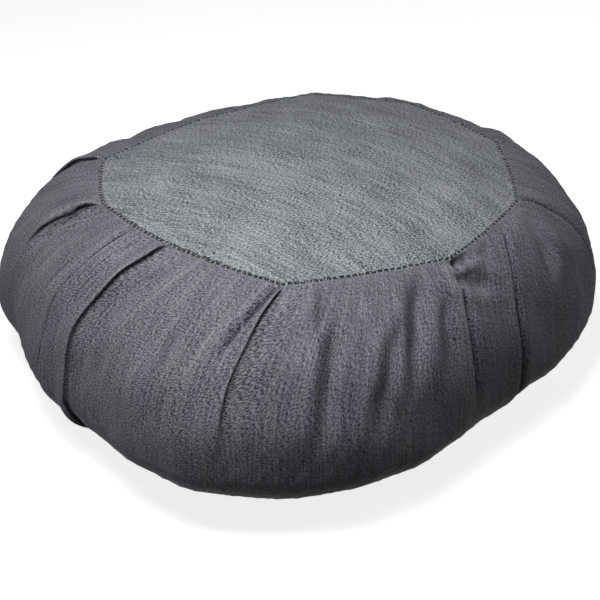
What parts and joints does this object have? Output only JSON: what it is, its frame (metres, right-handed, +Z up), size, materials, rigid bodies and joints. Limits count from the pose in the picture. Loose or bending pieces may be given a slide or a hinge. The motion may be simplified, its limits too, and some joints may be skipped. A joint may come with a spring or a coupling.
{
  "type": "zafu meditation cushion",
  "caption": "Round filled meditation cushion of dark denim: a crowned top panel, a bulging side band gathered by knife pleats and closed by a lapped end, and a flat bottom panel.",
  "frame": {"origin": "on the surface the cushion rests on, under the middle of its bounding box", "axes": "+Z up through the top panel, -Y towards the front, where the picture is taken from, +X to the right"},
  "size_m": [0.3782, 0.3704, 0.139],
  "materials": {
    "band_denim": "matte twill, worn grey-blue",
    "panel_denim": "matte twill, worn grey-blue"
  },
  "bodies": {
    "root": {"side_band": "band_denim", "top_panel": "panel_denim", "bottom_panel": "panel_denim"}
  },
  "joints": []
}
